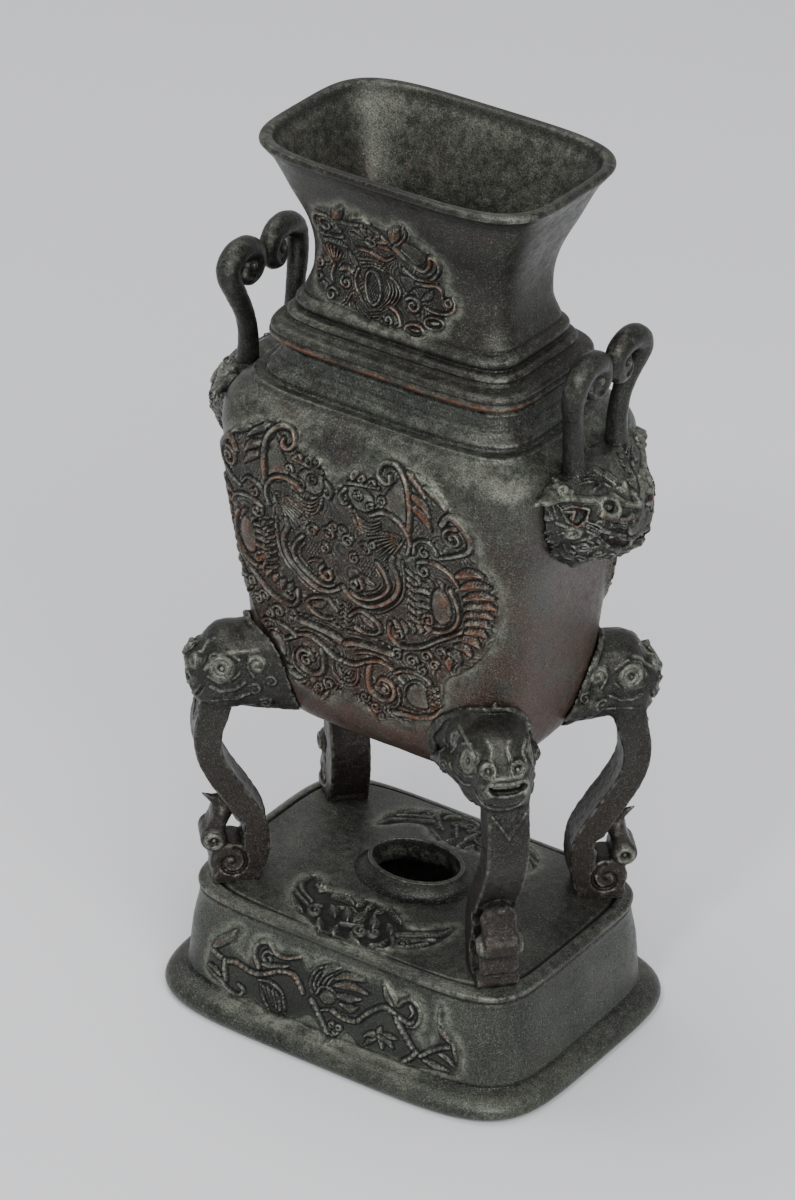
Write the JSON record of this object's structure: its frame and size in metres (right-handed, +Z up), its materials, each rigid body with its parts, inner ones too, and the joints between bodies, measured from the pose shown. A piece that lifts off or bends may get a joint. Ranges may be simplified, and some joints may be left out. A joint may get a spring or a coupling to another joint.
{
  "type": "bronze vase on a stand",
  "caption": "Rectangular cast bronze vase with flared neck, phoenix reliefs and mask handles, on beast-headed legs and a hollow oblong plinth.",
  "frame": {"origin": "on the ground, under the middle of the plinth", "axes": "+Z up, X along the long faces, the front face looks along -Y"},
  "size_m": [0.1648, 0.1194, 0.32],
  "materials": {
    "plinth_bronze": "dark bronze with a pale green-grey rubbed patina",
    "leg_bronze": "dark bronze with pale ridges",
    "body_bronze": "dark brown bronze, reddish on the high points of the relief",
    "neck_bronze": "dark brown bronze, mottled green-grey inside",
    "handle_bronze": "dark satin bronze"
  },
  "bodies": {
    "root": {"Plinth": "plinth_bronze", "Leg_front_right": "leg_bronze", "Leg_front_left": "leg_bronze", "Leg_back_right": "leg_bronze", "Leg_back_left": "leg_bronze", "Body": "body_bronze", "Neck": "neck_bronze", "Handle_right": "handle_bronze", "Handle_left": "handle_bronze"}
  },
  "joints": []
}
